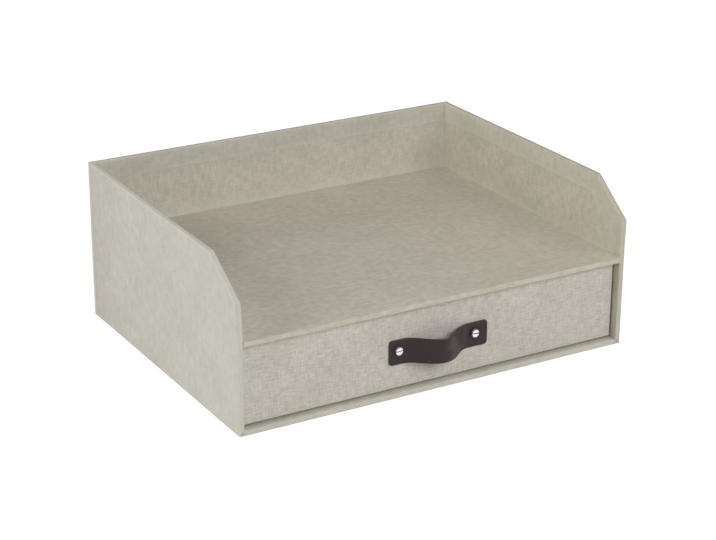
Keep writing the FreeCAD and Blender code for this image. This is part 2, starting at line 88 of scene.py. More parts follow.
def make_greyboard():
    """Pale and dark fibres mixed by fine noise, which also raises them a little."""
    material, tree = new_material("greyboard")
    place = add(tree, "TexCoord")
    fibres = add(tree, "TexNoise", {"Vector": place.outputs["Object"], "Scale": 1 / FIBRE, "Detail": 3.0})
    colours = {0: fibres.outputs[0], 6: linear(GREYBOARD_DARK), 7: linear(GREYBOARD_PALE)}
    tone = add(tree, "Mix", colours, data_type="RGBA")
    bump = add(tree, "Bump", {"Height": fibres.outputs[0], "Distance": FIBRE_RELIEF})
    surface = {"Base Color": tone.outputs[2], "Roughness": 0.95, "Normal": bump.outputs[0]}
    shader = add(tree, "BsdfPrincipled", surface)
    add(tree, "OutputMaterial", {"Surface": shader.outputs[0]})
    return material


greyboard = make_greyboard()
for node_name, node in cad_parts.items():
    if node_name.endswith("_board"):
        node.data.materials.clear()
        node.data.materials.append(greyboard)


# ---- Cover of the base ----
# One sheet of linen-look paper glued under the base board, over its front edge and 15 mm onto the bay floor.
# At both ends the board is grooved and folded up, so the front strip ends in a mitre at each corner.

PAPER = 0.3 * MM
TURN_IN = 15 * MM
FOLD_RADIUS = 0.8 * MM
HEM = 0.7 * MM
SEAM = 0.06 * MM
NOTCH = 0.6 * MM
NOTCH_REACH = 0.6 * MM
# Each fold is painted paler over this reach: a painted highlight, partly rubbed wear.
FOLD_HIGHLIGHT_REACH = 1.4 * MM
# The base's front edge is painted lighter, as lit from low in front, and its ledge under the drawer front is
# painted darker, as the recess's shade.
EDGE_PAINTED_LIGHT = 1.0
LEDGE_PAINTED_SHADE = -0.2
GRID = 8 * MM
FOLD_STEPS = 5
LAP_STEPS = 5
LAP_ROWS = FOLD_STEPS - 1 + LAP_STEPS
LEDGE_ROWS = LAP_STEPS - 1
WELD = 0.004 * MM

base_low, base_high = (np.array(corner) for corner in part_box("base_cover"))
CASE_X = base_high[0]
FRONT_Y = base_low[1]
BACK_PANEL_Y = base_high[1]
WALL = base_high[2]


def soften(radius, *gaps):
    """Rounds the edge or corner where faces meet. Each gap is a point's distance to one face. Where gaps are
    under the radius, the point moves from the square edge onto the circle or sphere of that radius."""
    gaps = np.stack(np.broadcast_arrays(*gaps))
    reach = np.clip(radius - gaps, 0, radius)
    length = np.maximum(np.sqrt((reach ** 2).sum(0)), 1e-12)
    return gaps + reach * (1 - np.where(reach.max(0) > 0, reach.max(0) / length, 1))


def stations(length, spacing):
    """Distances along an edge: even steps between two ends that each have close steps over a fold, with a hem
    between."""
    end = FOLD_RADIUS * np.linspace(0, 1, FOLD_STEPS)
    inner = FOLD_RADIUS + HEM
    count = max(2, round(length / spacing))
    return np.array([*end, *np.linspace(inner, length - inner, count), *(length - end[::-1])])


def offset_corners(corners, widths):
    """A polygon's corners after each side moves inwards by its own width: where the two moved lines meet."""
    sides = np.roll(corners, -1, axis=0) - corners
    normals = np.stack([-sides[:, 1], sides[:, 0]], -1) / np.linalg.norm(sides, axis=1)[:, None]
    pairs = np.stack([np.roll(normals, 1, axis=0), normals], 1)
    moves = np.stack([np.roll(widths, 1, axis=0), widths], 1)
    return corners + np.linalg.solve(pairs, moves[..., None])[..., 0]


def fold_levels(thickness, turn_in):
    """The line across a wrapped edge, as inset from the edge, depth from the face and distance on the sheet:
    off the face, over the edge and down the far side as far as the turn-in."""
    step = FOLD_RADIUS * np.linspace(0, 1, FOLD_STEPS)
    hem = FOLD_RADIUS + HEM
    middle = [hem, thickness / 2, thickness - hem] if thickness > 2 * hem else []
    edge = np.array([*step, *middle, *(thickness - step[::-1])])
    parts = [(step[:0:-1], 0 * step[1:], -step[:0:-1]), (0 * edge, edge, edge)]
    if turn_in:
        back = np.array([*step[1:], *np.linspace(hem, turn_in, LAP_STEPS)])
        parts.append((back, 0 * back + thickness, thickness + back))
    return [np.concatenate(column) for column in zip(*parts)]


def wrapped_sheet(corners, thickness, place, wraps, mitres=(), spacing=GRID):
    """Grids of a sheet glued to a panel: its face, and a flap over each side that has a turn-in in wraps.
    The face fills its outline by a blend of opposite sides, less that of their corners. A flap's point is the
    outline moved inwards by an inset, at a depth from the face, with every fold rounded by soften. Where a
    side is mitred, the flaps next to it end at 45 degrees, less a thin seam that is wider at a notch halfway.
    The fold weight is a bell curve over each fold: a painted highlight along it, partly rubbed wear."""
    corners = np.array(corners, float)
    count = len(corners)
    sides = np.roll(corners, -1, axis=0) - corners
    lengths = np.linalg.norm(sides, axis=1)
    directions = sides / lengths[:, None]
    normals = np.stack([-directions[:, 1], directions[:, 0]], -1)
    mitred = [side in mitres for side in range(count)]

    def settle(flat, depth):
        """Rounds the fold between the face and each mitred side, in the panel's plane and in depth."""
        for side in np.flatnonzero(mitred):
            gap = (flat - corners[side]) @ normals[side]
            depth, moved = soften(FOLD_RADIUS, depth, gap)
            flat = flat + (moved - gap)[..., None] * normals[side]
        return flat, depth

    grids = []
    inset = np.array([FOLD_RADIUS if side in wraps else 0.0 for side in range(count)])
    inner = offset_corners(corners, inset)
    shares = [(stations(length, spacing) / length)[:, None] for length in lengths]
    lines = [
        inner[side] + shares[side] * (inner[(side + 1) % count] - inner[side]) for side in range(count)
    ]
    top = np.concatenate(lines[2:count - 1])[::-1]
    left = lines[-1][::-1]
    across = np.linalg.norm(np.diff(top, axis=0, prepend=top[:1]), axis=1).cumsum()
    across = (across / across[-1])[:, None]
    upward = np.linalg.norm(left - left[0], axis=1) / np.linalg.norm(left[-1] - left[0])
    bottom = inner[0] + across * (inner[1] - inner[0])
    right = inner[1] + upward[:, None] * (inner[2] - inner[1])
    s, t = across[None], upward[:, None, None]
    flat = (
        (1 - t) * bottom[None] + t * top[None] + (1 - s) * left[:, None] + s * right[:, None]
        - (1 - s) * (1 - t) * inner[0] - s * (1 - t) * inner[1] - (1 - s) * t * left[-1] - s * t * inner[2]
    )
    settled, depth = settle(flat, np.zeros(flat.shape[:2]))
    grids.append((place(settled[..., 0], settled[..., 1], depth), flat, 0 * depth))

    for side, turn_in in wraps.items():
        inset, depth, sheet = fold_levels(thickness, turn_in)
        near = np.minimum(np.abs(sheet), np.abs(sheet - thickness))
        ends = []
        rounded, sunk = soften(FOLD_RADIUS, inset, depth)
        rounded, risen = soften(FOLD_RADIUS, rounded, thickness - sunk)
        for corner, beside in ((side, side - 1), ((side + 1) % count, (side + 1) % count)):
            beside %= count
            if beside in wraps:
                gap = np.minimum(rounded, wraps[beside]) if wraps[beside] else 0 * rounded
            elif mitred[beside]:
                open_seam = SEAM + NOTCH * np.exp(-((depth - thickness / 2) / NOTCH_REACH) ** 2)
                gap = depth + open_seam * np.clip(depth / MM, 0, 1)
            else:
                gap = 0 * rounded
            pair = np.stack([normals[side], normals[beside]])
            ends.append(corners[corner] + np.linalg.solve(pair, np.stack([rounded, gap])).T)
        share = shares[side][None]
        flat = ends[0][:, None] * (1 - share) + ends[1][:, None] * share
        level = (thickness - risen)[:, None] + 0 * flat[..., 0]
        along = (flat - corners[side]) @ directions[side]
        square = corners[side] + along[..., None] * directions[side] - sheet[:, None, None] * normals[side]
        flat, level = settle(flat, level)
        # A painted highlight along each fold, partly rubbed wear.
        weight = np.exp(-(near / FOLD_HIGHLIGHT_REACH) ** 2)[:, None] + 0 * level
        grids.append((place(flat[..., 0], flat[..., 1], level), square, weight))
    return grids


def make_mesh(name, grids, outward=None):
    """One mesh from grids of points, each with sheet coordinates and a fold weight. Points that meet are
    welded, and faces point outwards: along a direction for an open sheet, or away from the inside."""
    sizes = [grid[0].shape[:2] for grid in grids]
    starts = np.cumsum([0] + [rows * columns for rows, columns in sizes])
    numbers = [start + np.arange(rows * columns).reshape(rows, columns)
               for start, (rows, columns) in zip(starts, sizes)]
    quads = np.concatenate([
        np.stack([n[:-1, :-1], n[1:, :-1], n[1:, 1:], n[:-1, 1:]], -1).reshape(-1, 4) for n in numbers
    ])
    points, sheet, fold = (
        np.concatenate([np.reshape(grid[part], (-1, width)) for grid in grids])
        for part, width in ((0, 3), (1, 2), (2, 1))
    )
    mesh = bpy.data.meshes.new(name)
    mesh.from_pydata(points.tolist(), [], quads.tolist())
    mesh.uv_layers.new(name="Sheet").data.foreach_set("uv", sheet[quads.ravel()].ravel())
    mesh.attributes.new("Fold", "FLOAT", "POINT").data.foreach_set("value", fold.ravel())
    form = bmesh.new()
    form.from_mesh(mesh)
    bmesh.ops.remove_doubles(form, verts=form.verts, dist=WELD)
    bmesh.ops.recalc_face_normals(form, faces=form.faces)
    form.to_mesh(mesh)
    form.free()
    normals, areas = np.zeros(len(mesh.polygons) * 3), np.zeros(len(mesh.polygons))
    mesh.polygons.foreach_get("normal", normals)
    mesh.polygons.foreach_get("area", areas)
    if outward is not None and areas @ normals.reshape(-1, 3) @ np.array(outward, float) < 0:
        mesh.flip_normals()
    edges = np.zeros(len(mesh.loops), np.int32)
    mesh.loops.foreach_get("edge_index", edges)
    rim = np.bincount(edges, minlength=len(mesh.edges)) == 1
    mesh.attributes.new("sharp_edge", "BOOLEAN", "EDGE").data.foreach_set("value", rim)
    mesh.polygons.foreach_set("use_smooth", np.ones(len(mesh.polygons), bool))
    return mesh


def make_piece(name, mesh, body, material, replaced, thickness=0.0):
    """A finished piece for its CAD node. A sheet gets its thickness behind the face that its mesh gives."""
    piece = bpy.data.objects.new(name, mesh)
    bpy.context.scene.collection.objects.link(piece)
    mesh.materials.append(material)
    if thickness:
        solid = piece.modifiers.new("thickness", "SOLIDIFY")
        solid.thickness = thickness
        solid.offset = -1.0
        solid.use_even_offset = True
    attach(piece, body)
    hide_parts(replaced)


THREAD_RUN = 8
MOTTLE = 35 * MM
# The paler tone stands mostly for painted light and partly for wear; the darker one stands for painted shade.
PAINTED_LIGHT_AND_WEAR = "E1DFD3"
PAINTED_SHADE_TONE = "8F8670"
LIGHT_SHADE_AND_WEAR_SHARE = 0.45


def make_linen_paper(name, dark, pale, weights, thread, clouds, relief):
    """Paper embossed like linen, as a sum of noises: short threads along the sheet and across it, the clouds
    of its ink, and the broad mottle of the glue under it. A fold weight above nothing mixes the ink paler and
    one below nothing mixes it darker: mostly painted light and shade, such as highlights along the folds and
    shade in recesses and seams, with some rubbed wear."""
    material, tree = new_material(name)
    place = add(tree, "UVMap", uv_map="Sheet")
    spans = ((THREAD_RUN * thread, thread), (thread, THREAD_RUN * thread), clouds, (MOTTLE, MOTTLE))
    total = 0.5 - 0.5 * sum(weights)
    noises = []
    for (along, across), weight in zip(spans, weights):
        stretch = add(tree, "Mapping", {"Vector": place.outputs[0], "Scale": (1 / along, 1 / across, 1.0)})
        noise = add(tree, "TexNoise", {"Vector": stretch.outputs[0], "Scale": 1.0, "Detail": 1.5})
        sum_up = {0: noise.outputs[0], 1: weight, 2: total}
        total = add(tree, "Math", sum_up, operation="MULTIPLY_ADD").outputs[0]
        noises.append(noise.outputs[0])
    ink = add(tree, "Mix", {0: total, 6: linear(dark), 7: linear(pale)}, data_type="RGBA")
    fold = add(tree, "Attribute", attribute_name="Fold")
    # Mixes in the painted light and wear paler, and the painted shade darker.
    for share, colour in ((LIGHT_SHADE_AND_WEAR_SHARE, PAINTED_LIGHT_AND_WEAR), (-LIGHT_SHADE_AND_WEAR_SHARE, PAINTED_SHADE_TONE)):
        amount = add(tree, "Math", {0: fold.outputs["Fac"], 1: share}, operation="MULTIPLY")
        layers = {0: amount.outputs[0], 6: ink.outputs[2], 7: linear(colour)}
        ink = add(tree, "Mix", layers, data_type="RGBA")
    cloth = add(tree, "Math", {0: noises[0], 1: noises[1]}, operation="ADD")
    bump = add(tree, "Bump", {"Height": cloth.outputs[0], "Distance": relief})
    surface = {
        "Base Color": ink.outputs[2],
        "Roughness": 0.75,
        "Specular IOR Level": 0.35,
        "Normal": bump.outputs[0],
    }
    shader = add(tree, "BsdfPrincipled", surface)
    add(tree, "OutputMaterial", {"Surface": shader.outputs[0]})
    return material


def tint(grid, amount):
    """A grid whose fold weight moves by an amount, for all points or for each, and less where it is high."""
    points, sheet, fold = grid
    return points, sheet, fold + amount * (1 - fold)


def last_rows(fold, count):
    """Which points of a flap are in its last rows, the nearest to the cut edge of its turn-in."""
    return np.arange(len(fold))[:, None] >= len(fold) - count


# Linen-embossed cover paper: greige, matt, with fine crossed threads and upright clouds. The real threads are
# 0.5 mm apart, which is under a pixel of a render, so they are drawn 1 mm apart.
cover_paper = make_linen_paper(
    "linen_cover_paper", dark="AFABA0", pale="DAD6CB", weights=(0.5, 0.5, 0.55, 0.5), thread=1.0 * MM,
    clouds=(5 * MM, 8 * MM), relief=0.03 * MM,
)

base_sheet = wrapped_sheet(
    [(-CASE_X, FRONT_Y), (CASE_X, FRONT_Y), (CASE_X, BACK_PANEL_Y), (-CASE_X, BACK_PANEL_Y)],
    WALL,
    lambda a, b, depth: np.stack([a, b, depth], -1),
    wraps={0: TURN_IN},
    mitres=(1, 3),
)
# Painted light on the front edge, and painted shade on the ledge under the drawer front, in the last rows of
# the turn-in.
points, sheet, fold = tint(base_sheet[1], EDGE_PAINTED_LIGHT)
base_sheet[1] = (points, sheet, np.where(last_rows(fold, LEDGE_ROWS), LEDGE_PAINTED_SHADE, fold))
make_piece(
    "base_cover_paper", make_mesh("base_cover_paper", base_sheet, (0, 0, -1)), "case",
    cover_paper, "base_cover", PAPER,
)


# ---- Covers of the two side walls ----
# Paper round the outside of each side wall, over its front edge, its slope and its rim, and 15 mm inside.
# Both walls lean out a little above the shelf, most at the front, as glued board walls do, the left one more.
# Painted light and shade: paler towards the front and on the left wall's edges, darker towards the rear and
# in the rear seam.

SLOPE_RUN = 36 * MM
SLOPE_DROP = 26.5 * MM
LEAN_LEFT = 2.7 * MM
LEAN_RIGHT = 1.5 * MM
LEAN_BACK = 0.8 * MM
LEAN_POWER = 1.5
REAR_GAP = 0.05 * MM
BOARD = 3.6 * MM
# The face is painted lighter towards the front, and painted darker towards the rear and in the rear seam, as
# shade.
FACE_PAINTED_LIGHT = 0.7
FACE_POWER = 1.3
REAR_PAINTED_SHADE = -0.4
REAR_REACH = 25 * MM
SEAM_PAINTED_SHADE = -0.9
SEAM_REACH = 0.9 * MM
# Painted light on each wall's rim, slope and front edge, painted shade where below nothing, and painted light
# and shade on the laps; the right wall's inner folds lose their painted highlight.
EDGES_PAINTED_LIGHT = {"left": (2.2, 2.0, 1.5), "right": (-0.2, 0.0, 0.0)}  # the rim, the slope and the front edge
LAP_PAINTED_LIGHT = {"left": -0.1, "right": 0.1}
INNER_FOLD_HIGHLIGHT = {"left": 1.0, "right": 0.0}
LAP_EDGE_RUBBED = 0.4
LAP_CORNER = 1.3
# The inner faces are paler towards the two upright corners at the back.
CORNER_PALENESS = 1.2
CORNER_ACROSS = 4.5 * MM
CORNER_ALONG = 14 * MM
INNER_X = CASE_X - WALL

# The right wall's sheet is the same paper painted yellower, for the warm light that falls on that wall.
right_cover_warm_lit_paper = make_linen_paper(
    "linen_right_cover_warm_lit_paper", dark="B2AE9C", pale="DDD9C6", weights=(0.5, 0.5, 0.55, 0.5), thread=1.0 * MM,
    clouds=(5 * MM, 8 * MM), relief=0.03 * MM,
)

shelf_low, shelf_high = (np.array(corner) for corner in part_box("shelf_cover"))
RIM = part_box("left_side_cover")[1][2]
SHELF_TOP = shelf_high[2]
SIDE_OUTLINE = np.array([
    (FRONT_Y, 0), (BACK_PANEL_Y - REAR_GAP, 0), (BACK_PANEL_Y - REAR_GAP, RIM), (FRONT_Y + SLOPE_RUN, RIM),
    (FRONT_Y, RIM - SLOPE_DROP),
])


def lean(points, outward):
    """A side wall's lean: nothing at the shelf and at the back panel, growing by a power of the height above
    the shelf and by a parabola towards the front."""
    height = np.clip((points[..., 2] - SHELF_TOP) / (RIM - SHELF_TOP), 0, 1) ** LEAN_POWER
    forward = np.clip((BACK_PANEL_Y - points[..., 1]) / (BACK_PANEL_Y - FRONT_Y), 0, 1)
    share = height * forward * (2 - forward)
    return points + share[..., None] * np.array([outward, LEAN_BACK, 0.0])


def left_place(a, b, depth):
    """The left wall's plane: along Y and up Z, with its depth towards the middle, then leaning."""
    return lean(np.stack([depth - CASE_X, a, b], -1), -LEAN_LEFT)


def right_place(a, b, depth):
    """The right wall's plane: along Y and up Z, with its depth towards the middle, then leaning."""
    return lean(np.stack([CASE_X - depth, a, b], -1), LEAN_RIGHT)


def corner_paleness(points):
    """How much paler the inner faces are towards the two upright corners at the back, by an exponential of
    the distance from them across the back and along the sides."""
    across = (INNER_X - np.abs(points[..., 0])) / CORNER_ACROSS
    along = (BACK_PANEL_Y - points[..., 1]) / CORNER_ALONG
    return CORNER_PALENESS * np.exp(-np.maximum(across + along, 0))


for wall, place, outward, paper in (
    ("left", left_place, (-1, 0, 0), cover_paper),
    ("right", right_place, (1, 0, 0), right_cover_warm_lit_paper),
):
    face, *flaps = wrapped_sheet(
        SIDE_OUTLINE, WALL, place, wraps={2: TURN_IN, 3: TURN_IN, 4: TURN_IN}, mitres=(0,)
    )
    # Painted light towards the front, painted shade towards the rear and in the rear seam.
    rear = BACK_PANEL_Y - face[0][..., 1]
    forward = np.clip(rear / (BACK_PANEL_Y - FRONT_Y), 0, 1)
    painted_shade = REAR_PAINTED_SHADE * np.exp(-rear / REAR_REACH) + SEAM_PAINTED_SHADE * np.exp(-(rear / SEAM_REACH) ** 2)
    face = tint(face, FACE_PAINTED_LIGHT * forward ** FACE_POWER + painted_shade)
    # Painted light and shade on the edges and laps, with the fold's painted highlight fading towards the
    # inner fold on the right wall.
    for flap, amount in enumerate(EDGES_PAINTED_LIGHT[wall]):
        points, sheet, fold = flaps[flap]
        fold = fold * np.linspace(1, INNER_FOLD_HIGHLIGHT[wall], len(fold))[:, None]
        lap = fold + LAP_PAINTED_LIGHT[wall] + LAP_CORNER * corner_paleness(points)
        fold = np.where(last_rows(fold, LAP_ROWS), lap, fold + amount * (1 - fold))
        fold[-1] += LAP_EDGE_RUBBED
        flaps[flap] = (points, sheet, fold)
    make_piece(
        f"{wall}_side_cover_paper", make_mesh(f"{wall}_side_cover_paper", [face, *flaps], outward), "case",
        paper, f"{wall}_side_cover", PAPER,
    )
    board = offset_corners(SIDE_OUTLINE, np.array([WALL - PAPER, 0, PAPER, PAPER, PAPER]))
    board_sheet = wrapped_sheet(board, 0, lambda a, b, depth: place(a, b, depth + PAPER), wraps={})
    make_piece(
        f"{wall}_side_greyboard", make_mesh(f"{wall}_side_greyboard", board_sheet, outward), "case",
        greyboard, f"{wall}_side_board", BOARD,
    )


# ---- Cover of the back panel ----
# The back is one more wrapped board, as wide and as tall as the box, glued on behind the other panels.
# Its own folded edges make the fine upright seam near the rear of both sides.

BACK_LAP_CORNER = 0.5

back_low, back_high = (np.array(corner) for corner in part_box("back_cover"))


def rectangle(low, high, a, b):
    """The corners of a node's box in the plane of two axes, from the lowest round to the left."""
    return [(low[a], low[b]), (high[a], low[b]), (high[a], high[b]), (low[a], high[b])]


back_sheet = wrapped_sheet(
    rectangle(back_low, back_high, 0, 2),
    back_high[1] - back_low[1],
    lambda a, b, depth: np.stack([a, back_high[1] - depth, b], -1),
    wraps={0: WALL, 1: WALL, 2: TURN_IN, 3: WALL},
)
points, sheet, fold = back_sheet[3]
tone_shift = BACK_LAP_CORNER * corner_paleness(points)
points, sheet, fold = tint(back_sheet[3], np.where(last_rows(fold, LAP_ROWS), tone_shift, 0))
fold[-1] += LAP_EDGE_RUBBED
back_sheet[3] = (points, sheet, fold)
make_piece(
    "back_cover_paper", make_mesh("back_cover_paper", back_sheet, (0, 1, 0)), "case",
    cover_paper, "back_cover", PAPER,
)


# ---- Cover of the shelf ----
# The floor of the upper tray is a board wrapped over its front edge, glued between the side walls. Its sheet
# is painted paler, for the bounced light on its top, and runs across the roll, so its clouds lie from side to
# side. It is painted darker towards the right and the back, as shade, and on its front edge, where the
# paleness painted into the sheet is taken back; and it is painted paler in the gutter along the right wall,
# as bounced light.

# Painted shade towards the right and the back, painted bounced light in the gutter, and the front edge
# painted darker again.
SHELF_PAINTED_SHADE = -0.72
SHELF_ACROSS_POWER = 1.2
SHELF_DEPTH_POWER = 0.4
GUTTER_PAINTED_LIGHT = 0.4
GUTTER_REACH = 7 * MM
SHELF_EDGE_PAINTED_SHADE = -0.65

# The same linen emboss, whose threads are drawn 1.4 mm apart here, where the sheet is seen at a low angle.
# Painted paler than the cover paper, for the bounced light on the shelf's top.
shelf_lit_paper = make_linen_paper(
    "linen_shelf_lit_paper", dark="D2CCBC", pale="FAF4E4", weights=(0.7, 0.5, 0.95, 0.5), thread=1.4 * MM,
    clouds=(6 * MM, 5 * MM), relief=0.03 * MM,
)

shelf_sheet = wrapped_sheet(
    rectangle(shelf_low, shelf_high, 0, 1),
    SHELF_TOP - shelf_low[2],
    lambda a, b, depth: np.stack([a, b, SHELF_TOP - depth], -1),
    wraps={0: TURN_IN},
)
# Painted shade towards the right and the back, and painted bounced light in the gutter along the right wall.
points = shelf_sheet[0][0]
leftward = np.clip((shelf_high[0] - points[..., 0]) / (shelf_high[0] - shelf_low[0]), 0, 1)
nearer = np.clip((shelf_high[1] - points[..., 1]) / (shelf_high[1] - shelf_low[1]), 0, 1)
painted_shade = SHELF_PAINTED_SHADE * (1 - leftward ** SHELF_ACROSS_POWER * nearer ** SHELF_DEPTH_POWER)
gutter_light = GUTTER_PAINTED_LIGHT * np.exp(-(shelf_high[0] - points[..., 0]) / GUTTER_REACH)
shelf_sheet[0] = tint(shelf_sheet[0], painted_shade + gutter_light)
# The front edge is painted darker, taking back the paleness painted into the sheet for the top's light.
points, sheet, fold = shelf_sheet[1]
shelf_sheet[1] = (points, sheet, 0 * fold + SHELF_EDGE_PAINTED_SHADE)
make_piece(
    "shelf_cover_paper", make_mesh("shelf_cover_paper", shelf_sheet, (0, 0, 1)), "case",
    shelf_lit_paper, "shelf_cover", PAPER,
)


# ---- Linings of the case ----
# Thinner sheets, 0.2 mm, glued inside between the turn-ins, whose cut edges stay in sight as fine lap lines.
# Those on the walls have their clouds upright, and those on the side walls are painted yellower, for the warm
# light that falls on the right wall. The back's and the floor's run a little way under the side ones, as
# linings that are pasted first do.

LINING = 0.2 * MM
LINING_DEPTH = WALL - 0.1 * MM
LINING_STEP = 3 * MM
UNDER_SIDES = 0.15 * MM
# Painted light: paler towards the shelf; painted shade: darker just under the turn-in.
FOOT_PAINTED_LIGHT = 0.9
FOOT_REACH = 7 * MM
TOP_PAINTED_SHADE = -0.25
TOP_REACH = 5 * MM

# Thinner paper of the same linen look, whose threads are drawn 1 mm apart as the cover's are.
lining_paper = make_linen_paper(
    "linen_lining_paper", dark="B2AEA2", pale="DED9CC", weights=(0.8, 0.8, 0.6, 0.5), thread=1.0 * MM,
    clouds=(5 * MM, 9 * MM), relief=0.03 * MM,
)
# Painted yellower, for the warm light that falls on the right wall.
side_lining_warm_lit_paper = make_linen_paper(
    "linen_side_lining_warm_lit_paper", dark="B3AF9D", pale="DFDAC6", weights=(0.8, 0.8, 0.6, 0.5), thread=1.0 * MM,
    clouds=(5 * MM, 9 * MM), relief=0.03 * MM,
)


def make_lining(name, corners, place, outward, body, material=lining_paper):
    """A flat lining sheet in place of its CAD node. In the upper tray it is painted paler towards the shelf,
    as bounced light, paler towards the back corners, and painted darker under the turn-in, as its shade, each
    by an exponential of the distance."""
    grid = wrapped_sheet(corners, 0, place, wraps={}, spacing=LINING_STEP)[0]
    above = np.maximum(grid[0][..., 2] - SHELF_TOP, -LINING_STEP)
    below = np.maximum(RIM - TURN_IN - grid[0][..., 2], 0)
    tone_shift = FOOT_PAINTED_LIGHT * np.exp(-above / FOOT_REACH) + TOP_PAINTED_SHADE * np.exp(-below / TOP_REACH)
    tone_shift = np.where(above > -LINING_STEP, tone_shift + corner_paleness(grid[0]), 0)
    mesh = make_mesh(f"{name}_paper", [tint(grid, tone_shift)], outward)
    make_piece(f"{name}_paper", mesh, body, material, name, LINING)


lining_outline = offset_corners(SIDE_OUTLINE, np.array([LINING_DEPTH, 0, TURN_IN, TURN_IN, TURN_IN]))
make_lining(
    "left_side_lining",
    lining_outline,
    lambda a, b, depth: left_place(a, b, depth + LINING_DEPTH),
    (1, 0, 0),
    "case",
    side_lining_warm_lit_paper,
)
make_lining(
    "right_side_lining",
    lining_outline,
    lambda a, b, depth: right_place(a, b, depth + LINING_DEPTH),
    (-1, 0, 0),
    "case",
    side_lining_warm_lit_paper,
)
for lining, axes, normal in (
    ("back_lining", (0, 2, 1), -1),
    ("base_lining", (0, 1, 2), 1),
    ("shelf_underside_lining", (0, 1, 2), -1),
):
    low, high = (np.array(corner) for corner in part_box(lining))
    face = high[axes[2]] if normal > 0 else low[axes[2]]
    low[0], high[0] = low[0] - UNDER_SIDES, high[0] + UNDER_SIDES
    order = np.argsort(axes)
    outward = np.eye(3)[axes[2]] * normal
    make_lining(
        lining,
        rectangle(low, high, axes[0], axes[1]),
        lambda a, b, depth: np.stack([a, b, face + depth], -1)[..., order],
        outward,
        "case",
    )


# ---- Drawer front ----
# A wrapped panel of its own, glued to the tray's front wall. Its paper is the coarser linen, whose threads
# show: the real ones are about 0.7 mm apart, and they are drawn 0.9 mm apart so that a render shows them.

front_paper = make_linen_paper(
    "linen_front_paper", dark="B3AFA5", pale="EBE5DA", weights=(1.05, 0.85, 0.35, 0.4), thread=0.9 * MM,
    clouds=(5 * MM, 9 * MM), relief=0.06 * MM,
)

front_low, front_high = (np.array(corner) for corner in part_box("drawer_front_cover"))
front_sheet = wrapped_sheet(
    rectangle(front_low, front_high, 0, 2),
    front_high[1] - front_low[1],
    lambda a, b, depth: np.stack([a, front_low[1] + depth, b], -1),
    wraps={0: TURN_IN, 1: TURN_IN, 2: TURN_IN, 3: TURN_IN},
)
make_piece(
    "drawer_front_paper", make_mesh("drawer_front_paper", front_sheet, (0, -1, 0)), "drawer",
    front_paper, "drawer_front_cover", PAPER,
)


# ---- Drawer tray ----
# Four walls of 2.5 mm board on a bottom board, each wrapped in the cover paper, and lined inside with the
# lining paper. The side walls run the full depth, and the front and back walls stand between them.

bottom_low, bottom_high = (np.array(corner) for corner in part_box("tray_bottom_cover"))
bottom_sheet = wrapped_sheet(
    rectangle(bottom_low, bottom_high, 0, 1),
    bottom_high[2] - bottom_low[2],
    lambda a, b, depth: np.stack([a, b, bottom_low[2] + depth], -1),
    wraps={0: 0, 1: 0, 2: 0, 3: 0},
)
make_piece(
    "tray_bottom_paper", make_mesh("tray_bottom_paper", bottom_sheet, (0, 0, -1)), "drawer",
    cover_paper, "tray_bottom_cover", PAPER,
)

for wall, axis, sign in (("left", 0, -1), ("right", 0, 1), ("front", 1, -1), ("back", 1, 1)):
    low, high = (np.array(corner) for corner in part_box(f"tray_{wall}_cover"))
    outer = high[axis] if sign > 0 else low[axis]
    deep = high[axis] - low[axis]
    outward = np.eye(3)[axis] * sign
    other = 1 - axis

    def place_wall(a, b, depth):
        """The wall's plane: along the other level axis and up Z, with its depth towards the tray's middle."""
        level = outer - sign * depth
        return np.stack([level, a, b] if axis == 0 else [a, level, b], -1)

    ends = {1: deep, 3: deep} if axis == 0 else {}
    wall_sheet = wrapped_sheet(rectangle(low, high, other, 2), deep, place_wall, wraps={2: TURN_IN, **ends})
    make_piece(
        f"tray_{wall}_paper", make_mesh(f"tray_{wall}_paper", wall_sheet, outward), "drawer",
        cover_paper, f"tray_{wall}_cover", PAPER,
    )
    low, high = (np.array(corner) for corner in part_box(f"tray_{wall}_lining"))
    inner = low[axis] if sign > 0 else high[axis]

    def place_lining(a, b, depth):
        """The lining's plane, on the tray's side of the wall."""
        return np.stack([inner + 0 * a, a, b] if axis == 0 else [a, inner + 0 * a, b], -1)

    make_lining(f"tray_{wall}_lining", rectangle(low, high, other, 2), place_lining, -outward, "drawer")

low, high = (np.array(corner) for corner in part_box("tray_floor_lining"))
make_lining(
    "tray_floor_lining",
    rectangle(low, high, 0, 1),
    lambda a, b, depth: np.stack([a, b, high[2] + depth], -1),
    (0, 0, 1),
    "drawer",
)


# ---- Strap handle ----
# A strip of smooth brown-purple leather, 19.5 by 2 mm, bent out into a finger loop between two flat tabs.
# Its edges are dyed, rounded by burnishing and painted paler as an edge highlight, and each screw has pressed
# a ring into it.

STRAP_ENDS = (-40.7 * MM, 43.8 * MM)
STRAP_WIDTH = 19.5 * MM
STRAP_THICK = 2 * MM
STRAP_CORNER = 2.8 * MM
STRAP_EDGE = 0.7 * MM
CROWN_X = -1.4 * MM
CROWN_RADIUS = 17.5 * MM
FOOT_RADIUS = 16.5 * MM
BEND_ANGLE = math.radians(40)
RISE = 14.4 * MM
SCREWS_X = (-33.2 * MM, 32.5 * MM)
SCREW_LIFT = 1.0 * MM
SAG = 0.25 * MM
TWIST = (1.5 * MM, -2.0 * MM)
TWIST_X = -2 * MM
TWIST_REACH = 8 * MM
FLAT_FROM = 1.3 * STRAP_EDGE
CORNER_TO = STRAP_CORNER - 0.1 * MM
MIDDLE_FROM = STRAP_CORNER + 0.2 * MM
STRAP_HALF = 70 * MM
FINE = 0.01 * MM
EASE_STEPS = 501
ALONG_STEPS = 181
ACROSS_STEPS = 16
EDGE_STEPS = 6
TAB_STEPS = 5
RING_RADIUS = 4.5 * MM
RING_WIDTH = 0.75 * MM
RING_DEEP = 0.3 * MM
